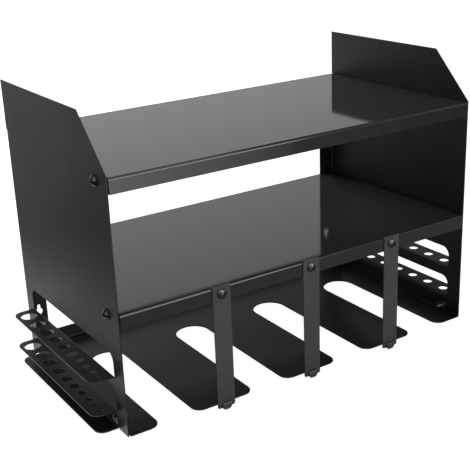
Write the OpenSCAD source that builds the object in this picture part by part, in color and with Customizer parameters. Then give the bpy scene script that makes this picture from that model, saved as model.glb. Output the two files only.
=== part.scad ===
// Wall-mounted power tool organizer: two bent side panels carry two shelves and a slotted tool plate.
// The origin lies on the wall, in the middle of the four keyholes. The front faces -Y and +Z is up.
// Heights called "above the floor line" are measured from the undersides of the side panels.

/* [Overall] */
// Width over the two side panels, without their racks
overall_w = 400; // [340:1:480]
// Depth from the wall to the front edges of the side panels
depth = 215; // [206:1:260]
// Height of the side panels
panel_h = 282; // [260:1:340]
// Thickness of all the sheet steel
sheet_t = 1.2; // [0.8:0.1:1.6]
// Inside radius of the folds
bend_r = 1.2; // [0.5:0.1:1.6]

/* [Side panels] */
// Size of the 45 degree cut at the top front corner
corner_cut = 47; // [20:1:50]
// Width of the flange that lies on the wall
wall_flange_w = 20; // [17:0.5:30]
// How far the wall flange ends below the top shelf's surface
wall_flange_drop = 1; // [0:0.5:4]
// Distance from the front edge to the windows and their racks
window_front = 17.5; // [12:0.5:24]
// Length of the windows and their racks
window_len = 180; // [170:1:184]
// Clear height of a window
window_h = 22; // [20:0.5:26]
// Height of the lower rack's surface above the floor line
lower_rack_z = 18.8; // [18:0.1:24]
// Height from one rack to the next
rack_pitch = 33; // [31:0.5:44]
// Corner radius of the windows, racks and ledges
rack_corner_r = 9; // [4:0.5:11]
// Reach of the solid ledge beyond the side panel
ledge_w = 19.5; // [14:0.5:26]
// Width of the relief slits at the ends of the side panels' folds
fold_slit = 0.5; // [0.3:0.1:1]

/* [Left racks] */
// Number of holes in a left rack
graded_holes = 10; // [4:1:10]
// Distance from the window's rear end to the middle of the largest hole
graded_inset = 15; // [10:0.5:18]
// Diameter of the largest hole
graded_d = 16.2; // [14:0.1:17]
// How much smaller each next hole is
graded_shrink = 1.35; // [0.9:0.05:1.4]
// Distance from the largest hole to the next one
graded_pitch = 23.2; // [22:0.1:23.5]
// How much closer each next hole comes
graded_closing = 1.45; // [1.3:0.05:1.6]

/* [Right racks] */
// Number of holes in a right rack
even_holes = 7; // [3:1:7]
// Distance from the window's front end to the middle of the first hole
even_inset = 18.5; // [10:0.5:20]
// Distance from hole to hole
even_pitch = 24; // [16:0.5:24]
// Diameter of the holes
even_d = 10; // [6:0.5:14]

/* [Keyholes] */
// Height of the lower keyholes above the floor line
keyhole_low_z = 39; // [30:1:60]
// Height from the lower to the upper keyholes
keyhole_pitch_z = 154; // [120:1:170]
// Diameter of the round entry
keyhole_entry_d = 7.5; // [7:0.5:10]
// Width of the narrow slot above it
keyhole_slot_w = 3.5; // [3:0.1:5.5]
// Height of the slot's end above the middle of the entry
keyhole_rise = 6; // [5:0.5:12]

/* [Shelves] */
// Depth of the top shelf's surface below the top of the side panels
cheek_h = 47.5; // [30:0.5:60]
// Height of the lower shelf's surface above the floor line
lower_shelf_z = 116; // [95:0.5:140]
// Height of the folds round a shelf
shelf_fold_h = 14; // [13.5:0.5:20]
// How far the front lips stand in front of the side panels
lip_proud = 1; // [0:0.5:3]
// Gap between the end of a lip and the side panel
lip_end_gap = 0.5; // [0.2:0.1:2]
// Length of the relief slit beside a lip
relief = 0.5; // [0.2:0.1:3]

/* [Tool plate] */
// Width of a tool slot
slot_w = 36; // [28:1:44]
// Depth of a slot from the plate's front edge to its round end
slot_depth = 159; // [120:1:170]
// Corner radius of the tongues
tongue_r = 10; // [3:0.5:14]
// Height of the folds at the sides and rear of the plate
plate_fold_h = 15; // [14:0.5:18]

/* [Straps] */
// Width of a strap
strap_w = 18.5; // [16:0.5:30]
// How far a strap rises above the lower shelf's surface
strap_rise = 1; // [0:0.5:3]
// How far a strap hangs below the floor line
strap_tail = 4; // [2:0.5:6]
// Radius of a strap's bottom corners
strap_corner_r = 2; // [1:0.5:4]
// Width of the hook that holds a strap's foot
hook_w = 9.5; // [8:0.5:12]
// How far the hook reaches below the floor line
hook_drop = 6; // [5:0.5:10]
// Cut at the hook's lower corners
hook_cut = 2; // [1:0.5:3.5]
// Inside radius of the hook's fold
hook_r = 0.6; // [0.3:0.1:1]

/* [Fasteners] */
// Distance from the side panel's front edge to its screws
screw_inset = 21.5; // [12:0.5:26]
// Diameter of a screw's shank
screw_d = 5; // [4:0.5:6]
// Length of a screw under its head
screw_len = 12; // [10:1:20]
// Diameter of a button head
head_d = 10; // [9:0.5:12]
// Height of a button head
head_h = 3.3; // [2.6:0.1:4]
// Width across the flats of a head's hexagon socket
socket_af = 3; // [2.5:0.5:5]
// Depth of the socket
socket_depth = 2; // [1:0.1:2.2]
// Width across the flats of a nut
nut_af = 8; // [8:0.5:10.5]
// Thickness of a nut
nut_h = 5; // [4:0.5:6]

/* [Fits] */
// Added to a screw's diameter for its hole in a sheet
hole_gap = 0.6; // [0.2:0.1:1]
// Added to a screw's diameter for the bore of its nut
nut_gap = 0.1; // [0.05:0.05:0.15]
// Space between a fastener and the nearest fold
fold_gap = 0.1; // [0.1:0.1:0.5]
// Space between the hook and the strap
hook_gap = 0.3; // [0.2:0.1:0.5]
// Space between the tongues and the straps
tongue_gap = 0.2; // [0.1:0.1:0.5]
// Diameter of the pegs that locate the shelves and the plate at the rear
peg_d = 5; // [4:0.5:6]
// Height of a peg
peg_h = 0.7; // [0.4:0.1:0.7]
// Added to a peg's diameter for its hole in the wall flange
peg_gap = 0.2; // [0.1:0.1:0.4]

/* [Hidden] */
$fn = 64;
bend_fn = 32;
// Overlap of a cutter with the outside of what it cuts
over = 1;
// Space that one fold takes along each of its two sheets
fold = sheet_t + bend_r;
inner_w = overall_w - 2 * sheet_t;
flat_w = inner_w - 2 * fold;
panel_x = overall_w / 2;
front_y = -depth;
floor_z = -(keyhole_low_z + keyhole_pitch_z / 2);
// Length of a fold measured along the middle of the sheet
fold_arc = PI / 2 * (bend_r + sheet_t / 2);
// A rack is the sheet cut from its own window, so its reach follows the window's height
rack_reach = bend_r + window_h + fold - fold_arc;
window_end = window_front + window_len;
// A rack or ledge is shorter than its window by a slit at each end
rack_front_y = front_y + window_front + fold_slit;
rack_back_y = front_y + window_end - fold_slit;
top_shelf_z = panel_h - cheek_h;
wall_flange_top = top_shelf_z - wall_flange_drop;
// The part of a side panel above its wall flange reaches the wall, down to a slit
cheek_foot = wall_flange_top + fold_slit;
// Keyholes and pegs lie on the middle line of the wall flange's flat part
flange_mid_x = panel_x - (wall_flange_w + fold) / 2;
// Screws sit where a nut just clears the inside of a fold
shelf_screw_drop = fold + nut_af / 2 + fold_gap;
plate_screw_z = fold + max(nut_af, head_d) / 2 + fold_gap;
screw_y = front_y + screw_inset;
lip_y = front_y - lip_proud;
strap_y = lip_y - sheet_t;
tongue_y = lip_y + tongue_gap;
back_y = -sheet_t;
// Three straps stand between the four tool bays
strap_count = 3;
tool_bays = strap_count + 1;
bay_pitch = inner_w / tool_bays;
nut_seat_x = inner_w / 2 - sheet_t;
strap_nut_y = lip_y + sheet_t;
top_screw_z = top_shelf_z - shelf_screw_drop;
lower_screw_z = lower_shelf_z - shelf_screw_drop;
panel_screws_z = [top_screw_z, lower_screw_z, plate_screw_z];
// Rear folds end clear of the bend between the side panel and its wall flange
rear_fold_half = panel_x - fold - fold_gap;

panel_black = [0.16, 0.16, 0.16];
shelf_black = [0.26, 0.26, 0.27];
strap_black = [0.2, 0.2, 0.2];
screw_black = [0.1, 0.1, 0.1];
nut_grey = [0.3, 0.3, 0.3];

// Swaps the two axes of a flat outline
module swapped() {
    rotate(90)
        mirror([0, 1])
            children();
}

// A quarter fold: the sheet arrives along x with its outer face at y = 0 and leaves downwards
module fold_outline(r = bend_r) {
    translate([0, -r - sheet_t])
        intersection() {
            difference() {
                circle(r + sheet_t, $fn = bend_fn);
                circle(r, $fn = bend_fn);
            }
            square(r + sheet_t);
        }
}

// A quarter fold and the flat leg after it, reaching leg below the sheet's outer face
module edge_outline(leg) {
    fold_outline();
    translate([bend_r, -leg])
        square([sheet_t, leg - fold]);
}

// A strip from x = 0 to w and y = 0 to l, with both corners at x = w rounded
module tab_outline(w, l, r) {
    square([w - r, l]);
    translate([0, r])
        square([w, l - 2 * r]);
    translate([w - r, r])
        circle(r);
    translate([w - r, l - r])
        circle(r);
}

// What a rounded corner takes away from a square one at the origin
module corner_outline(r) {
    difference() {
        translate([-over, -over])
            square(r + over);
        translate([r, r])
            circle(r);
    }
}

// Extrudes an outline drawn in x and z from y = a to y = b
module along_y(a, b) {
    translate([0, b, 0])
        rotate([90, 0, 0])
            linear_extrude(b - a)
                children();
}

// Extrudes an outline drawn in y and z from x = a to x = b
module along_x(a, b) {
    translate([a, 0, 0])
        rotate([90, 0, 90])
            linear_extrude(b - a)
                children();
}

// Slits at both ends of a rack's or ledge's fold, whose bend starts at height z
module slit_pair(z) {
    for (y = [front_y + window_front, rack_back_y])
        translate([y, z - fold_slit])
            square([fold_slit, 2 * fold_slit]);
}

// Side panel: flat sheet, windows, slits and screw holes, drawn in y and z
module panel_outline() {
    difference() {
        polygon([[front_y, 0], [front_y, panel_h - corner_cut], [front_y + corner_cut, panel_h],
            [0, panel_h], [0, cheek_foot], [-fold - fold_slit, cheek_foot],
            [-fold - fold_slit, wall_flange_top], [-fold, wall_flange_top], [-fold, 0]]);
        translate([front_y + window_front, -over])
            square([window_len, fold + over]);
        slit_pair(fold);
        for (z = [lower_rack_z, lower_rack_z + rack_pitch]) {
            slit_pair(z - fold);
            translate([front_y + window_front, z - fold])
                swapped()
                    tab_outline(window_h + fold, window_len, rack_corner_r);
        }
        for (z = panel_screws_z)
            translate([screw_y, z])
                circle(d = screw_d + hole_gap);
    }
}

// One hole after another along a rack, each smaller and closer than the last
module graded_hole_row() {
    for (i = [0:graded_holes - 1])
        translate([0, window_end - graded_inset - i * graded_pitch + graded_closing * i * (i - 1) / 2])
            circle(d = graded_d - i * graded_shrink);
}

module even_hole_row() {
    for (i = [0:even_holes - 1])
        translate([0, window_front + even_inset + i * even_pitch])
            circle(d = even_d);
}

// Fold along a rack's or ledge's inner edge, drawn in x and z with the bend starting at z = 0
module outward_fold() {
    along_y(rack_front_y, rack_back_y)
        translate([panel_x - sheet_t, 0])
            rotate(90)
                fold_outline();
}

// Rack folded out of its window, with its upper face at z = 0; the hole row is given as a child
module rack() {
    translate([0, 0, -fold])
        outward_fold();
    translate([0, 0, -sheet_t])
        linear_extrude(sheet_t)
            difference() {
                translate([panel_x + bend_r, rack_front_y])
                    tab_outline(rack_reach - bend_r, rack_back_y - rack_front_y, rack_corner_r);
                translate([panel_x + rack_reach / 2, front_y])
                    children();
            }
}

// Solid ledge folded outwards at the bottom of the side panel
module ledge() {
    translate([0, 0, fold])
        mirror([0, 0, 1])
            outward_fold();
    linear_extrude(sheet_t)
        translate([panel_x + bend_r, rack_front_y])
            tab_outline(ledge_w - bend_r, rack_back_y - rack_front_y, rack_corner_r);
}

module keyhole_outline() {
    circle(d = keyhole_entry_d);
    translate([-keyhole_slot_w / 2, 0])
        square([keyhole_slot_w, keyhole_rise]);
    translate([0, keyhole_rise])
        circle(d = keyhole_slot_w);
}

// Flange on the wall, with two keyholes and the holes for the pegs
module wall_flange() {
    linear_extrude(wall_flange_top)
        translate([panel_x, -fold])
            swapped()
                fold_outline();
    along_y(-sheet_t, 0)
        difference() {
            translate([panel_x - wall_flange_w, 0])
                square([wall_flange_w - fold, wall_flange_top]);
            for (z = [keyhole_low_z, keyhole_low_z + keyhole_pitch_z])
                translate([flange_mid_x, z])
                    keyhole_outline();
            for (z = panel_screws_z)
                translate([flange_mid_x, z])
                    circle(d = peg_d + peg_gap);
        }
}

// Right-hand side panel; the hole row of its two racks is given as a child
module side_panel() {
    translate([0, 0, floor_z]) {
        along_x(panel_x - sheet_t, panel_x)
            panel_outline();
        wall_flange();
        ledge();
        for (z = [lower_rack_z, lower_rack_z + rack_pitch])
            translate([0, 0, z])
                rack()
                    children();
    }
}

module left_side_panel() {
    color(panel_black)
        mirror([1, 0, 0])
            side_panel()
                graded_hole_row();
}

module right_side_panel() {
    color(panel_black)
        side_panel()
            even_hole_row();
}

// Folded edge along x at a shelf's front or rear, its bend starting at y = 0 and its leg going down
module cross_fold(leg) {
    along_x(-inner_w / 2 + lip_end_gap, inner_w / 2 - lip_end_gap)
        edge_outline(leg);
}

// Rear fold with a half-sheared peg near each end, which sits in the wall flange
module rear_fold(leg, peg_z) {
    difference() {
        union() {
            translate([0, back_y - fold, 0])
                along_x(-rear_fold_half, rear_fold_half)
                    edge_outline(leg);
            for (side = [-1, 1])
                translate([side * flange_mid_x, back_y, peg_z])
                    rotate([-90, 0, 0])
                        cylinder(d = peg_d, h = peg_h);
        }
        for (side = [-1, 1])
            translate([side * flange_mid_x, back_y - sheet_t - over, peg_z])
                rotate([-90, 0, 0])
                    cylinder(d = peg_d, h = peg_h + over);
    }
}

// Folded edges along both sides from y = a to b, with a screw hole near the front of each
module side_folds(leg, a, b, screw_z) {
    for (side = [0, 1])
        mirror([side, 0, 0])
            difference() {
                along_y(a, b)
                    translate([flat_w / 2, 0])
                        edge_outline(leg);
                translate([inner_w / 2 - sheet_t - over, screw_y, screw_z])
                    rotate([0, 90, 0])
                        cylinder(d = screw_d + hole_gap, h = sheet_t + 2 * over);
            }
}

// Front ends of a shelf's side folds, which close the corners below the bend up to a slit behind the lip
module corner_tabs(leg) {
    for (side = [0, 1])
        mirror([side, 0, 0])
            translate([inner_w / 2 - sheet_t, lip_y + sheet_t + relief, -leg])
                cube([sheet_t, bend_r + over, leg - fold]);
}

// Shelf with its upper face at z = 0 and folds going down on all four sides
module shelf() {
    side_start = lip_y + fold + relief;
    side_end = back_y - fold - relief;
    corner_tabs(shelf_fold_h);
    translate([-flat_w / 2, lip_y + fold, -sheet_t])
        cube([flat_w, back_y - lip_y - 2 * fold, sheet_t]);
    translate([0, lip_y + fold, 0])
        mirror([0, 1, 0])
            cross_fold(shelf_fold_h);
    side_folds(shelf_fold_h, side_start, side_end, -shelf_screw_drop);
    rear_fold(shelf_fold_h, -shelf_screw_drop);
}

module top_shelf() {
    color(shelf_black)
        translate([0, 0, floor_z + top_shelf_z])
            shelf();
}

// The lower shelf's front lip also has a hole for each strap's screw
module lower_shelf() {
    color(shelf_black)
        difference() {
            translate([0, 0, floor_z + lower_shelf_z])
                shelf();
            for (i = [1:strap_count])
                translate([strap_x(i), lip_y - over, floor_z + lower_screw_z])
                    rotate([-90, 0, 0])
                        cylinder(d = screw_d + hole_gap, h = sheet_t + 2 * over);
        }
}

function strap_x(i) = -inner_w / 2 + i * bay_pitch;

// Tool plate seen from above: open slots with round ends between tongues with round corners
module plate_outline() {
    difference() {
        translate([-flat_w / 2, tongue_y])
            square([flat_w, back_y - fold - tongue_y]);
        for (i = [0:tool_bays - 1])
            translate([strap_x(i) + bay_pitch / 2, tongue_y]) {
                translate([0, slot_depth - slot_w / 2])
                    circle(d = slot_w);
                translate([-slot_w / 2, -over])
                    square([slot_w, slot_depth - slot_w / 2 + over]);
                for (side = [0, 1])
                    mirror([side, 0])
                        translate([slot_w / 2, 0])
                            corner_outline(tongue_r);
            }
    }
}

// Hook on the front of a tongue, which passes through the strap and turns down in front of it
module hook() {
    hook_back = strap_y - hook_gap;
    turn_y = hook_back + hook_r;
    translate([-hook_w / 2, turn_y, 0])
        cube([hook_w, tongue_y - turn_y, sheet_t]);
    translate([0, turn_y, sheet_t])
        mirror([0, 1, 0])
            along_x(-hook_w / 2, hook_w / 2)
                fold_outline(hook_r);
    along_y(hook_back - sheet_t, hook_back)
        polygon([[-hook_w / 2, -hook_r], [hook_w / 2, -hook_r], [hook_w / 2, hook_cut - hook_drop],
            [hook_w / 2 - hook_cut, -hook_drop], [hook_cut - hook_w / 2, -hook_drop],
            [-hook_w / 2, hook_cut - hook_drop]]);
}

module tool_plate() {
    color(panel_black)
        translate([0, 0, floor_z]) {
            linear_extrude(sheet_t)
                plate_outline();
            mirror([0, 0, 1]) {
                side_folds(plate_fold_h, tongue_y, back_y - fold - relief, -plate_screw_z);
                rear_fold(plate_fold_h, -plate_screw_z);
            }
            for (i = [1:strap_count])
                translate([strap_x(i), 0, 0])
                    hook();
        }
}

// Flat strap from the lower shelf's lip down to the hook of its tongue
module strap(i) {
    strap_h = strap_tail + lower_shelf_z + strap_rise;
    opening_w = hook_w + 2 * hook_gap;
    opening_h = sheet_t + 2 * hook_gap;
    color(strap_black)
        translate([strap_x(i), 0, floor_z])
            along_y(strap_y, lip_y)
                difference() {
                    translate([-strap_w / 2, lower_shelf_z + strap_rise])
                        rotate(-90)
                            tab_outline(strap_h, strap_w, strap_corner_r);
                    translate([0, lower_screw_z])
                        circle(d = screw_d + hole_gap);
                    translate([-opening_w / 2, -hook_gap])
                        square([opening_w, opening_h]);
                }
}

module left_strap() {
    strap(1);
}

module middle_strap() {
    strap(2);
}

module right_strap() {
    strap(3);
}

// Button head screw along z: the head's seat is at z = 0 and the shank goes down
module button_screw() {
    rim_h = head_h / 5;
    dome_h = head_h - rim_h;
    dome_r = (head_d * head_d / 4 + dome_h * dome_h) / (2 * dome_h);
    tip_cut = screw_d / 12;
    color(screw_black)
        difference() {
            union() {
                rotate_extrude()
                    intersection() {
                        square([head_d / 2, head_h]);
                        translate([0, head_h - dome_r])
                            circle(dome_r, $fn = 4 * $fn);
                    }
                rotate_extrude()
                    polygon([[0, -screw_len], [screw_d / 2 - tip_cut, -screw_len],
                        [screw_d / 2, tip_cut - screw_len], [screw_d / 2, rim_h], [0, rim_h]]);
            }
            translate([0, 0, head_h - socket_depth])
                cylinder(d = socket_af / cos(30), h = socket_depth + over, $fn = 6);
        }
}

// Hexagon nut along z with its seat at z = 0 and its body below
module hex_nut() {
    corner_r = nut_af / 2 / cos(30);
    face_r = nut_af / 2 * 0.95;
    edge_h = (corner_r - face_r) * tan(30);
    color(nut_grey)
        difference() {
            intersection() {
                translate([0, 0, -nut_h])
                    cylinder(r = corner_r, h = nut_h, $fn = 6);
                rotate_extrude()
                    polygon([[0, 0], [face_r, 0], [corner_r, -edge_h], [corner_r, edge_h - nut_h],
                        [face_r, -nut_h], [0, -nut_h]]);
            }
            translate([0, 0, -nut_h - over])
                cylinder(d = screw_d + nut_gap, h = nut_h + 2 * over);
        }
}

// Puts a fastener at a side panel; side is -1 for left and 1 for right
module at_side(side, x, z) {
    translate([side * x, screw_y, floor_z + z])
        rotate([0, side * 90, 0])
            children();
}

module side_screw(side, z) {
    at_side(side, panel_x, z)
        button_screw();
}

module side_nut(side, z) {
    at_side(side, nut_seat_x, z)
        rotate(30)
            hex_nut();
}

// Puts a fastener at strap i, facing the front
module at_strap(i, y) {
    translate([strap_x(i), y, floor_z + lower_screw_z])
        rotate([90, 0, 0])
            children();
}

module strap_screw(i) {
    at_strap(i, strap_y)
        button_screw();
}

module strap_nut(i) {
    at_strap(i, strap_nut_y)
        hex_nut();
}

module top_shelf_left_screw() { side_screw(-1, top_screw_z); }
module lower_shelf_left_screw() { side_screw(-1, lower_screw_z); }
module tool_plate_left_screw() { side_screw(-1, plate_screw_z); }
module top_shelf_right_screw() { side_screw(1, top_screw_z); }
module lower_shelf_right_screw() { side_screw(1, lower_screw_z); }
module tool_plate_right_screw() { side_screw(1, plate_screw_z); }
module left_strap_screw() { strap_screw(1); }
module middle_strap_screw() { strap_screw(2); }
module right_strap_screw() { strap_screw(3); }
module top_shelf_left_nut() { side_nut(-1, top_screw_z); }
module lower_shelf_left_nut() { side_nut(-1, lower_screw_z); }
module tool_plate_left_nut() { side_nut(-1, plate_screw_z); }
module top_shelf_right_nut() { side_nut(1, top_screw_z); }
module lower_shelf_right_nut() { side_nut(1, lower_screw_z); }
module tool_plate_right_nut() { side_nut(1, plate_screw_z); }
module left_strap_nut() { strap_nut(1); }
module middle_strap_nut() { strap_nut(2); }
module right_strap_nut() { strap_nut(3); }

left_side_panel();
right_side_panel();
top_shelf();
lower_shelf();
tool_plate();
left_strap();
middle_strap();
right_strap();
top_shelf_left_screw();
lower_shelf_left_screw();
tool_plate_left_screw();
top_shelf_right_screw();
lower_shelf_right_screw();
tool_plate_right_screw();
left_strap_screw();
middle_strap_screw();
right_strap_screw();
top_shelf_left_nut();
lower_shelf_left_nut();
tool_plate_left_nut();
top_shelf_right_nut();
lower_shelf_right_nut();
tool_plate_right_nut();
left_strap_nut();
middle_strap_nut();
right_strap_nut();
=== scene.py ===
"""Looks of the wall-mounted power tool organizer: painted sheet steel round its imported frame."""

import math

import bpy
from mathutils import Matrix, Vector


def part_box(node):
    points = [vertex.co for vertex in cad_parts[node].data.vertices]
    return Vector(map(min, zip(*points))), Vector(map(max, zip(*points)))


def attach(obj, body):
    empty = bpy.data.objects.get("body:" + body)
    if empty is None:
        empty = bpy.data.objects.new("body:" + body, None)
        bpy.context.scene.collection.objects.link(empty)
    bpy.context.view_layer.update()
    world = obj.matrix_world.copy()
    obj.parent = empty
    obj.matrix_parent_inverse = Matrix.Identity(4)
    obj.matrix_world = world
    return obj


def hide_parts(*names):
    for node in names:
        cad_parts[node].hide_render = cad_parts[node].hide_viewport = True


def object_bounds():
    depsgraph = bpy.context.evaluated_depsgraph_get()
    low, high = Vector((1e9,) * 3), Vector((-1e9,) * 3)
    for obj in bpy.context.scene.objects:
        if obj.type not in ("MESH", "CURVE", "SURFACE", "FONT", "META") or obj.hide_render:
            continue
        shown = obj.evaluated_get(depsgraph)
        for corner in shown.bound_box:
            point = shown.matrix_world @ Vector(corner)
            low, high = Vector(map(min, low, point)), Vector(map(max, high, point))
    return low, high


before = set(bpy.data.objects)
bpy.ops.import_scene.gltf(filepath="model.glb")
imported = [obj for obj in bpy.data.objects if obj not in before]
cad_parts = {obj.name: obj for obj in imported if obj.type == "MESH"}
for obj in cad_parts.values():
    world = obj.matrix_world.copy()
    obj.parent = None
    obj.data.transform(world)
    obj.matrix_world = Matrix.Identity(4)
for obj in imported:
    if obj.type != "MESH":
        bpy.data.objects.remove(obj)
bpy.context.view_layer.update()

MM = 0.001
MICRON = 0.000001
QUARTER_TURN = math.radians(90)
WHITE = (1.0, 1.0, 1.0, 1.0)

# The slot name of each sheet finish, and the sheets that take it
STRAPS = ["left_strap", "middle_strap", "right_strap"]
SHEETS = {
    "panel": ("side_panels", ["left_side_panel", "right_side_panel"]),
    "shelf": ("shelves", ["top_shelf", "lower_shelf"]),
    "plate": ("tool_plate", ["tool_plate"]),
    "strap": ("straps", STRAPS),
}

# What the side panels' screws hold, each on its left and right
SIDE_FIXINGS = [f"{part}_{side}" for part in ("top_shelf", "lower_shelf", "tool_plate")
                for side in ("left", "right")]

# The shelves lie between the panels, so a panel's outer face is one sheet outside a shelf
SHEET_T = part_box("left_strap")[1].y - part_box("left_strap")[0].y
PANEL_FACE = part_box("top_shelf")[1].x + SHEET_T

# Camera of the photograph, in the organizer's own frame; lens and sensor are in millimetres
CAMERA_PLACE = (-507.5 * MM, -881.1 * MM, 334.8 * MM)
CAMERA_YAW = math.radians(32.59)
CAMERA_PITCH = math.radians(-20.22)
CAMERA_ROLL = math.radians(-2.32)
CAMERA_LENS = 73.93
SENSOR_WIDTH = 36.0
NEAREST_SEEN = 10 * MM
FARTHEST_SEEN = 50.0

# Softboxes in metres and watts: place, aim, width and height, power, and whether gloss sees them
LAMPS = {
    "key_softbox": ((-1.4, -1.2, 1.6), (0.0, -0.1, 0.0), (1.2, 1.2), 5.0, True),
    "front_softbox": ((0.52, -1.42, 0.42), (0.0, -0.2, 0.0), (0.6, 0.9), 7.2, True),
    "rear_fill": ((0.2, 1.3, 0.55), (0.0, -0.1, 0.0), (1.0, 0.8), 58.0, False),
}

# Cards from black to bright that only gloss sees: middle, size, tones of the left and right edges,
# and whether one stands
CARDS = {
    "rear_card": ((2.2, 1.6, 0.43), (6.4, 1.1), (0.98, 0.0), True),
    "upper_rear_card": ((2.2, 1.6, 1.94), (6.4, 1.92), (0.06, 0.06), True),
    "ceiling_card": ((2.35, 0.2, 2.0), (2.5, 2.8), (0.1, 0.1), False),
    "left_rear_card": ((-2.5, 1.6, 1.39), (3.0, 3.02), (0.0, 0.0), True),
    "low_rear_card": ((0.21, 0.1, -0.045), (0.82, 0.15), (0.42, 0.0), True),
    "left_card": ((-0.905, -0.72, -0.1205), (1.19, 1.76), (0.0, 0.0), False),
    "left_back_card": ((-0.9, 0.31, -0.1205), (1.2, 0.3), (0.0, 0.0), False),
    "far_left_card": ((-0.9, 1.03, -0.1208), (1.2, 1.14), (0.38, 0.38), False),
    "behind_card": ((0.35, 0.65, -0.1206), (1.3, 1.2), (1.0, 1.0), False),
    "under_card": ((0.52, -0.095, -0.1208), (1.44, 0.29), (0.1, 0.1), False),
    "low_front_left_card": ((0.075, -0.65, -0.04), (0.45, 0.15), (3.1, 0.5), True),
    "low_front_right_card": ((0.51, -0.65, -0.04), (0.42, 0.15), (0.25, 0.0), True),
    "near_front_card": ((0.4, -0.44, -0.1207), (1.8, 0.4), (0.25, 0.25), False),
    "far_front_card": ((0.6, -1.35, -0.1209), (3.0, 1.4), (0.0, 0.0), False),
    "right_front_card": ((3.3, -2.2, 1.0), (3.5, 2.24), (0.35, 0.35), True),
    "high_card": ((-0.1, -1.5, 1.1), (0.9, 0.6), (4.5, 4.5), True),
}
CARD_EDGES = (-0.5, 0.5)
LYING_CARD_WHITE = (1.0, 0.98, 0.93, 1.0)

# White studio; the floor's white makes up for the share that stays a shaded board
WORLD_LIGHT = 0.45
WORLD_WHITE = 1.0
FLOOR_WHITE = 1.15
FLOOR_WHITE_SHARE = 0.85
FLOOR_BOARD = (0.8, 0.8, 0.8, 1.0)
FLOOR_SIZE = 24.0
FLOOR_GAP = 0.2 * MM

# Paint and black oxide; over the cloud range a finish goes from its first roughness to its second
PAINT_IOR = 1.5
GRAIN_DETAIL = 3.0
CLOUD_DETAIL = 4.0
CLOUD_RANGE = (0.3, 0.7)
OXIDE_METALLIC = 0.85

# Places of a sheet's other materials, after its own finish
EDGE_PAINT = 1
# The hooks' front faces take the straps' lighter paint: painted light on faces that look forwards
LIT_HOOK_PAINT = 2

# Easing of the cut edges under the paint
SHEET_EASE = 0.22 * MM
NUT_EASE = 0.15 * MM
EASE_STEPS = 2
CREASE_ANGLE = math.radians(40)
NUT_CREASE_ANGLE = math.radians(25)

# Merging of a CAD node's triangles, and smooth shading that keeps its large faces flat
WELD_DISTANCE = 0.002 * MM
FLAT_ANGLE = math.radians(0.4)
SMOOTH_ANGLE = math.radians(35)
FLAT_WEIGHT = 80

# A face looks forwards or down when this share of its normal points there
FACES_FRONT = 0.7
FACES_DOWN = 0.9

# Button head screws
THREAD_PITCH = 0.8 * MM
THREAD_DEPTH = 0.3 * MM
THREAD_SIDES = 24
RINGS_PER_PITCH = 4
TIP_SLOPE = 0.6
SHANK_R = 2.5 * MM
SHANK_GAP = 0.02 * MM
HEAD_SIDES = 64
HEAD_H = 3.3 * MM
RIM_SHARE = 0.32
DOME_STEPS = 7
DOME_NARROWING = 0.72
SOCKET_SIDES = 6
SOCKET_R = 1.5 * MM / math.cos(math.radians(30))
SOCKET_DEPTH = 2.0 * MM
SOCKET_EASE = 0.12 * MM
DRILL_INSET = 0.18
DRILL_DEPTH = 0.5 * MM
DRILL_POINT = 0.05

# Turn from one screw to the next in degrees, as tightened by hand
SIDE_SPIN = 17
STRAP_SPIN = 23
STRAP_SPIN_START = 10


# Scene helpers

def clear_selection():
    """Leaves nothing selected, so that the next operator only acts on what it makes."""
    if bpy.context.object and bpy.context.object.mode != "OBJECT":
        bpy.ops.object.mode_set(mode="OBJECT")
    bpy.ops.object.select_all(action="DESELECT")


def pick(piece):
    """Selects one piece and makes it active."""
    clear_selection()
    piece.select_set(True)
    bpy.context.view_layer.objects.active = piece


def edit_only(piece, kind, wanted):
    """Opens the active piece for editing with only its wanted edges or faces selected."""
    bpy.ops.object.mode_set(mode="EDIT")
    bpy.ops.mesh.select_mode(type=kind)
    bpy.ops.mesh.select_all(action="DESELECT")
    bpy.ops.object.mode_set(mode="OBJECT")
    for element in piece.data.edges if kind == "EDGE" else piece.data.polygons:
        element.select = wanted(element)
    bpy.ops.object.mode_set(mode="EDIT")


def extrude_up(height):
    """Extrudes what is selected along z; a negative height goes down."""
    bpy.ops.mesh.extrude_region_move(TRANSFORM_OT_translate={"value": (0, 0, height)})


def narrow(share):
    """Narrows what is selected to a share of its width, about its middle."""
    bpy.ops.transform.resize(value=(share, share, 1))


def turned(angle, axis):
    """The matrix of a turn round one axis."""
    return Matrix.Rotation(angle, 4, axis)


def apply_modifier(piece, kind, **settings):
    """Adds one modifier with its settings and applies it."""
    pick(piece)
    modifier = piece.modifiers.new(kind.lower(), kind)
    for name, value in settings.items():
        setattr(modifier, name, value)
    bpy.ops.object.modifier_apply(modifier=modifier.name)


def finish_shading(piece, materials):
    """Gives a piece its materials and smooth bends between flat faces."""
    piece.data.materials.clear()
    for material in materials:
        piece.data.materials.append(material)
    pick(piece)
    bpy.ops.object.shade_smooth_by_angle(angle=SMOOTH_ANGLE)
    apply_modifier(piece, "WEIGHTED_NORMAL", keep_sharp=True, weight=FLAT_WEIGHT)


def stand_for(piece, node):
    """Lets a piece stand for its CAD node on the organizer's one body."""
    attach(piece, "root")
    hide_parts(node)


# Finishes

def grey(tone):
    """A colour without any tint."""
    return (tone, tone, tone, 1.0)


def add_noise(tree, place, scale, detail):
    """Noise on a piece's own coordinates; returns its value."""
    noise = tree.nodes.new("ShaderNodeTexNoise")
    noise.inputs["Detail"].default_value = detail
    tree.links.new(place, noise.inputs["Vector"])
    tree.links.new(scale, noise.inputs["Scale"])
    return noise.outputs["Fac"]


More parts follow.
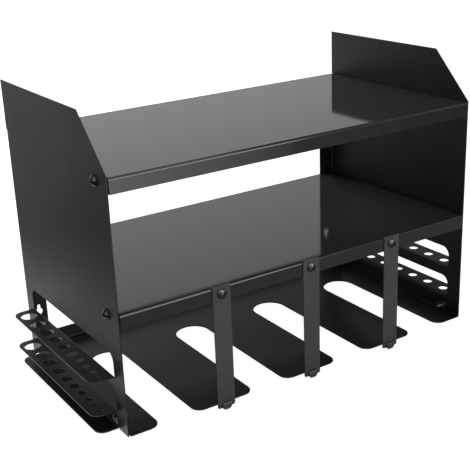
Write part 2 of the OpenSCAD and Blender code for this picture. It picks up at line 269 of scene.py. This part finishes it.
def add_range(tree, value, given, wanted):
    """Stretches a value from its given range to the wanted one; returns the result."""
    stretch = tree.nodes.new("ShaderNodeMapRange")
    stretch.inputs["From Min"].default_value, stretch.inputs["From Max"].default_value = given
    stretch.inputs["To Min"].default_value, stretch.inputs["To Max"].default_value = wanted
    tree.links.new(value, stretch.inputs["Value"])
    return stretch.outputs["Result"]


def make_paint_grain():
    """Orange peel of sprayed paint: fine bumps on the normal and a soft cloud of tone."""
    group = bpy.data.node_groups.new("paint_grain", "ShaderNodeTree")
    for label in ("Grain Scale", "Grain Depth", "Cloud Scale"):
        group.interface.new_socket(label, in_out="INPUT", socket_type="NodeSocketFloat")
    group.interface.new_socket("Normal", in_out="OUTPUT", socket_type="NodeSocketVector")
    group.interface.new_socket("Cloud", in_out="OUTPUT", socket_type="NodeSocketFloat")
    nodes, links = group.nodes, group.links
    given = nodes.new("NodeGroupInput")
    result = nodes.new("NodeGroupOutput")
    place = nodes.new("ShaderNodeTexCoord").outputs["Object"]
    grain = add_noise(group, place, given.outputs["Grain Scale"], GRAIN_DETAIL)
    cloud = add_noise(group, place, given.outputs["Cloud Scale"], CLOUD_DETAIL)
    bump = nodes.new("ShaderNodeBump")
    bump.inputs["Strength"].default_value = 1.0
    links.new(given.outputs["Grain Depth"], bump.inputs["Distance"])
    links.new(grain, bump.inputs["Height"])
    links.new(bump.outputs["Normal"], result.inputs["Normal"])
    links.new(cloud, result.inputs["Cloud"])
    return group


def make_paint(name, grain_group, dark, light, rough, grain_scale, grain_depth, cloud_scale):
    """Black paint on steel, which clouds between two tones and two roughnesses."""
    material = bpy.data.materials.new(name)
    material.use_nodes = True
    tree = material.node_tree
    nodes, links = tree.nodes, tree.links
    paint = nodes["Principled BSDF"]
    paint.inputs["IOR"].default_value = PAINT_IOR
    grain = nodes.new("ShaderNodeGroup")
    grain.node_tree = grain_group
    grain.inputs["Grain Scale"].default_value = grain_scale
    grain.inputs["Grain Depth"].default_value = grain_depth
    grain.inputs["Cloud Scale"].default_value = cloud_scale
    tone = nodes.new("ShaderNodeMix")
    tone.data_type = "RGBA"
    tone.inputs["A"].default_value = dark
    tone.inputs["B"].default_value = light
    links.new(grain.outputs["Cloud"], tone.inputs["Factor"])
    links.new(tone.outputs["Result"], paint.inputs["Base Color"])
    links.new(add_range(tree, grain.outputs["Cloud"], CLOUD_RANGE, rough), paint.inputs["Roughness"])
    links.new(grain.outputs["Normal"], paint.inputs["Normal"])
    return material


def make_oxide(name, grain_group, dark, light, rough):
    """Blackened steel of the screws and nuts."""
    material = make_paint(name, grain_group, dark, light, rough,
                          grain_scale=1500.0, grain_depth=12 * MICRON, cloud_scale=120.0)
    material.node_tree.nodes["Principled BSDF"].inputs["Metallic"].default_value = OXIDE_METALLIC
    return material


def make_finishes():
    """Every finish of the organizer by name."""
    grain = make_paint_grain()
    return {
        "panel": make_paint("satin_panel_paint", grain, dark=grey(0.0045), light=grey(0.0065),
                            rough=(0.38, 0.46), grain_scale=1400.0, grain_depth=30 * MICRON,
                            cloud_scale=14.0),
        "shelf": make_paint("gloss_shelf_paint", grain, dark=grey(0.0165), light=grey(0.0195),
                            rough=(0.05, 0.08), grain_scale=260.0, grain_depth=1.5 * MICRON,
                            cloud_scale=9.0),
        "plate": make_paint("satin_plate_paint", grain, dark=grey(0.004), light=grey(0.006),
                            rough=(0.26, 0.34), grain_scale=1400.0, grain_depth=30 * MICRON,
                            cloud_scale=14.0),
        # The straps take the plate's same paint made about eight times lighter: painted light on their
        # front faces
        "strap": make_paint("satin_strap_paint_painted_light", grain, dark=grey(0.039), light=grey(0.046),
                            rough=(0.36, 0.44), grain_scale=1500.0, grain_depth=30 * MICRON,
                            cloud_scale=30.0),
        # Lighter than the panels' and plate's paint: a painted highlight along the eased edges
        "edge": make_paint("eased_edge_paint_painted_highlight", grain, dark=grey(0.008), light=grey(0.014),
                           rough=(0.42, 0.52), grain_scale=1800.0, grain_depth=20 * MICRON,
                           cloud_scale=60.0),
        "screw": make_oxide("black_oxide_screw", grain, dark=(0.058, 0.058, 0.059, 1.0),
                            light=(0.080, 0.080, 0.081, 1.0), rough=(0.10, 0.16)),
        "nut": make_oxide("black_oxide_nut", grain, dark=(0.040, 0.040, 0.040, 1.0),
                          light=(0.065, 0.064, 0.063, 1.0), rough=(0.28, 0.40)),
    }


# Sheets and nuts

def copy_of_node(node, name):
    """A merged copy of a CAD node with whole flat faces, ready for more work."""
    clear_selection()
    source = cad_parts[node]
    piece = source.copy()
    piece.data = source.data.copy()
    piece.name = name
    for key in list(piece.keys()):
        del piece[key]
    bpy.context.scene.collection.objects.link(piece)
    piece.parent = None
    pick(piece)
    bpy.ops.object.mode_set(mode="EDIT")
    bpy.ops.mesh.select_all(action="SELECT")
    bpy.ops.mesh.customdata_custom_splitnormals_clear()
    bpy.ops.mesh.remove_doubles(threshold=WELD_DISTANCE)
    bpy.ops.mesh.dissolve_limited(angle_limit=FLAT_ANGLE)
    bpy.ops.object.mode_set(mode="OBJECT")
    return piece


def ease_edges(piece, width, crease):
    """Rounds the edges sharper than crease; the new strips take the piece's edge paint, which on the
    panels and plate is a painted highlight, lighter than their own paint.
    """
    apply_modifier(piece, "BEVEL", width=width, segments=EASE_STEPS, limit_method="ANGLE",
                   angle_limit=crease, use_clamp_overlap=False, loop_slide=False, material=EDGE_PAINT)


def paint_light_on_hooks(piece):
    """Gives the hooks' front faces, which lie in front of the straps, the straps' lighter finish:
    painted light on the faces that look forwards.
    """
    piece.data.materials.append(finishes["strap"])
    strap_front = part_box("left_strap")[0].y
    for face in piece.data.polygons:
        if face.normal.y < -FACES_FRONT and face.center.y < strap_front:
            face.material_index = LIT_HOOK_PAINT


def painted_sheet(node, finish):
    """A folded sheet with eased edges under its paint, in place of its CAD node."""
    piece = copy_of_node(node, f"{node}_painted")
    ease_edges(piece, SHEET_EASE, CREASE_ANGLE)
    # The eased edge strips take the edge paint, a painted highlight on the panels and plate
    finish_shading(piece, [finish, finishes["edge"]])
    # The tool plate's hooks get painted light: the straps' lighter paint on their front faces
    if node == "tool_plate":
        paint_light_on_hooks(piece)
    stand_for(piece, node)


def blackened_nut(node):
    """A nut with eased corners in its own finish, in place of its CAD node."""
    piece = copy_of_node(node, f"{node}_blackened")
    ease_edges(piece, NUT_EASE, NUT_CREASE_ANGLE)
    finish_shading(piece, [finishes["nut"], finishes["nut"]])
    stand_for(piece, node)


# Screws

def button_head(radius, height):
    """A domed head with a round rim, seated at z = 0."""
    clear_selection()
    bpy.ops.mesh.primitive_circle_add(vertices=HEAD_SIDES, radius=radius, fill_type="NGON")
    head = bpy.context.object
    bpy.ops.object.mode_set(mode="EDIT")
    bpy.ops.mesh.select_all(action="SELECT")
    rim = height * RIM_SHARE
    dome = height - rim
    dome_r = (radius * radius + dome * dome) / (2 * dome)
    extrude_up(rim)
    last_r = radius
    for step in range(1, DOME_STEPS + 1):
        ring_r = radius * (1 - DOME_NARROWING * step / DOME_STEPS)
        extrude_up(math.sqrt(dome_r ** 2 - ring_r ** 2) - math.sqrt(dome_r ** 2 - last_r ** 2))
        narrow(ring_r / last_r)
        last_r = ring_r
    bpy.ops.mesh.select_all(action="SELECT")
    bpy.ops.mesh.normals_make_consistent(inside=False)
    bpy.ops.object.mode_set(mode="OBJECT")
    return head


def socket_cutter(top):
    """Hexagon prism with a drilled point below it, as the socket's inside."""
    clear_selection()
    bpy.ops.mesh.primitive_cylinder_add(vertices=SOCKET_SIDES, radius=SOCKET_R, depth=2 * SOCKET_DEPTH,
                                        location=(0, 0, top))
    cutter = bpy.context.object
    bpy.ops.object.transform_apply(location=True)
    edit_only(cutter, "FACE", lambda face: face.normal.z < -FACES_DOWN)
    bpy.ops.mesh.inset(thickness=SOCKET_R * DRILL_INSET)
    extrude_up(-DRILL_DEPTH)
    narrow(DRILL_POINT)
    bpy.ops.object.mode_set(mode="OBJECT")
    return cutter


def thread_radius(x, y, z):
    """Radius of the thread's surface at a point, as a ridge that climbs one pitch a turn."""
    turn = math.atan2(y, x) / (2 * math.pi)
    share = (z / THREAD_PITCH - turn) % 1.0
    return SHANK_R - SHANK_GAP - THREAD_DEPTH * abs(2 * share - 1)


def threaded_shank(length):
    """A threaded shank with a chamfered tip, from z = 0 down to -length."""
    clear_selection()
    bpy.ops.mesh.primitive_cylinder_add(vertices=THREAD_SIDES, radius=SHANK_R, depth=length,
                                        location=(0, 0, -length / 2))
    shank = bpy.context.object
    bpy.ops.object.transform_apply(location=True)

    def runs_along(edge):
        """Whether an edge runs along the shank, and not round one of its ends."""
        ends = [shank.data.vertices[i].co for i in edge.vertices]
        return abs(ends[0].z - ends[1].z) > length / 2

    edit_only(shank, "EDGE", runs_along)
    bpy.ops.mesh.subdivide(number_cuts=int(length / THREAD_PITCH * RINGS_PER_PITCH))
    bpy.ops.object.mode_set(mode="OBJECT")
    tip_start = -length + THREAD_PITCH
    for vertex in shank.data.vertices:
        x, y, z = vertex.co
        radius = thread_radius(x, y, z)
        if z < tip_start:
            radius = min(radius, SHANK_R - THREAD_DEPTH - (tip_start - z) * TIP_SLOPE)
        across = math.hypot(x, y)
        vertex.co.x = radius * x / across
        vertex.co.y = radius * y / across
    return shank


def make_screw_pattern():
    """The one modelled screw: head seated at z = 0 and shank down; its size comes from a CAD screw."""
    low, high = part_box("top_shelf_left_screw")
    head_r = (high.z - low.z) / 2
    shank_length = high.x + PANEL_FACE
    head = button_head(head_r, HEAD_H)
    cutter = socket_cutter(HEAD_H)
    apply_modifier(head, "BOOLEAN", operation="DIFFERENCE", object=cutter, solver="EXACT")
    bpy.data.objects.remove(cutter)
    apply_modifier(head, "BEVEL", width=SOCKET_EASE, segments=EASE_STEPS, limit_method="ANGLE",
                   angle_limit=CREASE_ANGLE, use_clamp_overlap=True)
    shank = threaded_shank(shank_length)
    pick(shank)
    head.select_set(True)
    bpy.context.view_layer.objects.active = head
    bpy.ops.object.join()
    head.name = "screw_pattern"
    return head


def set_screw(node, place, turn):
    """Copies the pattern to one screw's seat; turn is the rotation of its axis."""
    piece = screw_pattern.copy()
    piece.data = screw_pattern.data.copy()
    piece.name = f"{node}_blackened"
    bpy.context.scene.collection.objects.link(piece)
    piece.data.transform(Matrix.Translation(place) @ turn)
    finish_shading(piece, [finishes["screw"]])
    stand_for(piece, node)


def place_screws():
    """A screw at each CAD screw: seated on the side panels, or on the fronts of the straps."""
    for number, name in enumerate(SIDE_FIXINGS):
        low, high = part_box(f"{name}_screw")
        middle = (low + high) / 2
        side = -1 if name.endswith("left") else 1
        turn = turned(QUARTER_TURN * side, "Y") @ turned(math.radians(SIDE_SPIN * number), "Z")
        set_screw(f"{name}_screw", (side * PANEL_FACE, middle.y, middle.z), turn)
    for number, name in enumerate(STRAPS):
        low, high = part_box(f"{name}_screw")
        middle = (low + high) / 2
        spin = math.radians(STRAP_SPIN * number + STRAP_SPIN_START)
        turn = turned(QUARTER_TURN, "X") @ turned(spin, "Z")
        set_screw(f"{name}_screw", (middle.x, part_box(name)[0].y, middle.z), turn)


# Stage

def make_camera():
    """The camera at the photograph's viewpoint."""
    lens = bpy.data.cameras.new("photo_camera")
    lens.lens = CAMERA_LENS
    lens.sensor_width = SENSOR_WIDTH
    lens.sensor_fit = "HORIZONTAL"
    lens.clip_start = NEAREST_SEEN
    lens.clip_end = FARTHEST_SEEN
    camera = bpy.data.objects.new("photo_camera", lens)
    camera.matrix_world = (Matrix.Translation(CAMERA_PLACE) @ turned(-CAMERA_YAW, "Z")
                           @ turned(QUARTER_TURN + CAMERA_PITCH, "X") @ turned(CAMERA_ROLL, "Z"))
    bpy.context.scene.collection.objects.link(camera)
    bpy.context.scene.camera = camera


def higher_of(tree, first, second):
    """The higher of two values in a node tree."""
    higher = tree.nodes.new("ShaderNodeMath")
    higher.operation = "MAXIMUM"
    tree.links.new(first, higher.inputs[0])
    tree.links.new(second, higher.inputs[1])
    return higher.outputs[0]


def seen_by_rays(tree):
    """1 for camera, glossy and transmission rays, and 0 for those that only carry light."""
    rays = tree.nodes.new("ShaderNodeLightPath").outputs
    direct = higher_of(tree, rays["Is Camera Ray"], rays["Is Glossy Ray"])
    return higher_of(tree, direct, rays["Is Transmission Ray"])


def mix_white(tree, shader_type, strength, share, plain, surface):
    """Mixes a share of plain white into a shader and leads both to the surface."""
    white = tree.nodes.new(shader_type)
    white.inputs["Color"].default_value = WHITE
    white.inputs["Strength"].default_value = strength
    mix = tree.nodes.new("ShaderNodeMixShader")
    tree.links.new(share, mix.inputs["Fac"])
    tree.links.new(plain, mix.inputs[1])
    tree.links.new(white.outputs[0], mix.inputs[2])
    tree.links.new(mix.outputs[0], surface)


def shaderless_material(name):
    """A material that still lacks its shader; returns it, its tree and the socket for the shader."""
    material = bpy.data.materials.new(name)
    material.use_nodes = True
    tree = material.node_tree
    tree.nodes.remove(tree.nodes["Principled BSDF"])
    return material, tree, tree.nodes["Material Output"].inputs["Surface"]


def make_world():
    """A white studio: white to the eye and to gloss, softer as a light."""
    world = bpy.data.worlds.new("studio")
    bpy.context.scene.world = world
    world.use_nodes = True
    tree = world.node_tree
    soft = tree.nodes["Background"]
    soft.inputs["Color"].default_value = WHITE
    soft.inputs["Strength"].default_value = WORLD_LIGHT
    mix_white(tree, "ShaderNodeBackground", WORLD_WHITE, seen_by_rays(tree), soft.outputs[0],
              tree.nodes["World Output"].inputs["Surface"])


def make_floor():
    """A white floor just under the hooks that still takes the organizer's shadow."""
    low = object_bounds()[0]
    clear_selection()
    bpy.ops.mesh.primitive_plane_add(size=FLOOR_SIZE, location=(0, 0, low.z - FLOOR_GAP))
    floor = bpy.context.object
    floor.name = "floor"
    material, tree, surface = shaderless_material("white_floor")
    board = tree.nodes.new("ShaderNodeBsdfDiffuse")
    board.inputs["Color"].default_value = FLOOR_BOARD
    share = tree.nodes.new("ShaderNodeMath")
    share.operation = "MULTIPLY"
    share.inputs[1].default_value = FLOOR_WHITE_SHARE
    tree.links.new(seen_by_rays(tree), share.inputs[0])
    mix_white(tree, "ShaderNodeEmission", FLOOR_WHITE, share.outputs[0], board.outputs[0], surface)
    floor.data.materials.append(material)


def make_lamp(name, place, aim, size, power, in_gloss):
    """A softbox that faces its aim."""
    light = bpy.data.lights.new(name, "AREA")
    light.shape = "RECTANGLE"
    light.size, light.size_y = size
    light.energy = power
    lamp = bpy.data.objects.new(name, light)
    lamp.location = place
    lamp.rotation_euler = (Vector(aim) - Vector(place)).to_track_quat("-Z", "Y").to_euler()
    lamp.visible_glossy = in_gloss
    bpy.context.scene.collection.objects.link(lamp)


def make_card(name, middle, size, tones, standing):
    """A card that only gloss sees; tones are those of its left and right edges."""
    clear_selection()
    bpy.ops.mesh.primitive_plane_add(size=1.0)
    card = bpy.context.object
    card.name = name
    card.scale = (*size, 1.0)
    card.rotation_euler.x = QUARTER_TURN if standing else 0.0
    card.location = middle
    material, tree, surface = shaderless_material(name)
    place = tree.nodes.new("ShaderNodeTexCoord")
    across = tree.nodes.new("ShaderNodeSeparateXYZ")
    tree.links.new(place.outputs["Object"], across.inputs["Vector"])
    glow = tree.nodes.new("ShaderNodeEmission")
    glow.inputs["Color"].default_value = WHITE if standing else LYING_CARD_WHITE
    tree.links.new(add_range(tree, across.outputs["X"], CARD_EDGES, tones), glow.inputs["Strength"])
    tree.links.new(glow.outputs["Emission"], surface)
    card.data.materials.append(material)
    card.visible_camera = False
    card.visible_diffuse = False
    card.visible_shadow = False


finishes = make_finishes()

make_camera()
make_world()
make_floor()
for lamp_name, lamp_values in LAMPS.items():
    make_lamp(lamp_name, *lamp_values)
for card_name, card_values in CARDS.items():
    make_card(card_name, *card_values)

for finish_name, (slot_name, sheets) in SHEETS.items():
    for sheet in sheets:
        painted_sheet(sheet, finishes[finish_name])
for fixing in SIDE_FIXINGS + STRAPS:
    blackened_nut(f"{fixing}_nut")
screw_pattern = make_screw_pattern()
place_screws()
bpy.data.objects.remove(screw_pattern)

scene = bpy.context.scene
scene.view_settings.view_transform = "Standard"
